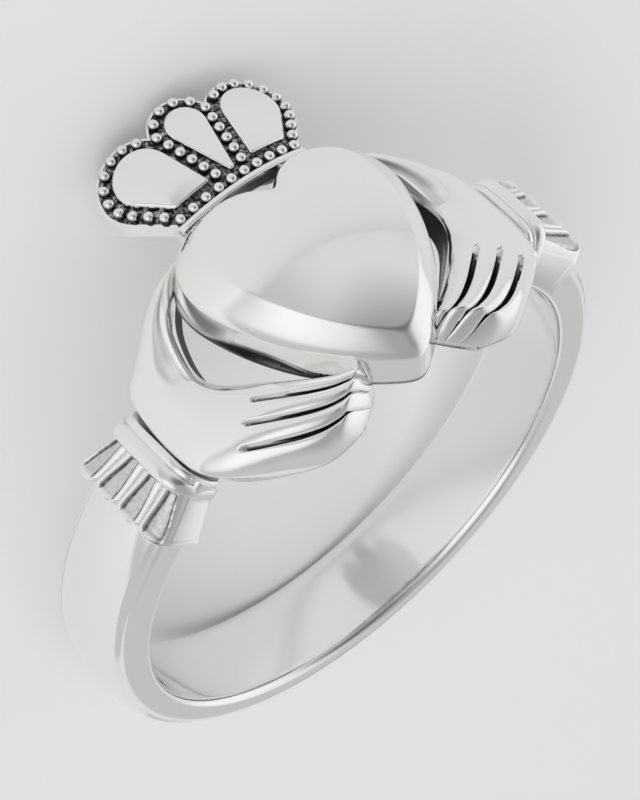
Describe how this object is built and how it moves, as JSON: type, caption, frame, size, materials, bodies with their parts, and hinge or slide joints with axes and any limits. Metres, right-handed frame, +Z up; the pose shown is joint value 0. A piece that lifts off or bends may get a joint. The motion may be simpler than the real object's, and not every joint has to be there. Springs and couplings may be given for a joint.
{
  "type": "claddagh ring",
  "caption": "Silver finger ring whose cuffed hands hold a domed heart under a beaded crown, pierced beside the heart.",
  "frame": {"origin": "on the surface that the ring lies on, under the middle of its box", "axes": "+X from the ring's right hand to its left hand, +Y from the heart's side to the back of the shank, +Z up from the surface; the crown side is down"},
  "size_m": [0.0204, 0.0224, 0.0118],
  "materials": {
    "silver": "polished sterling silver",
    "dark_silver": "oxidised recesses"
  },
  "bodies": {
    "root": {"ring": "silver"}
  },
  "joints": []
}
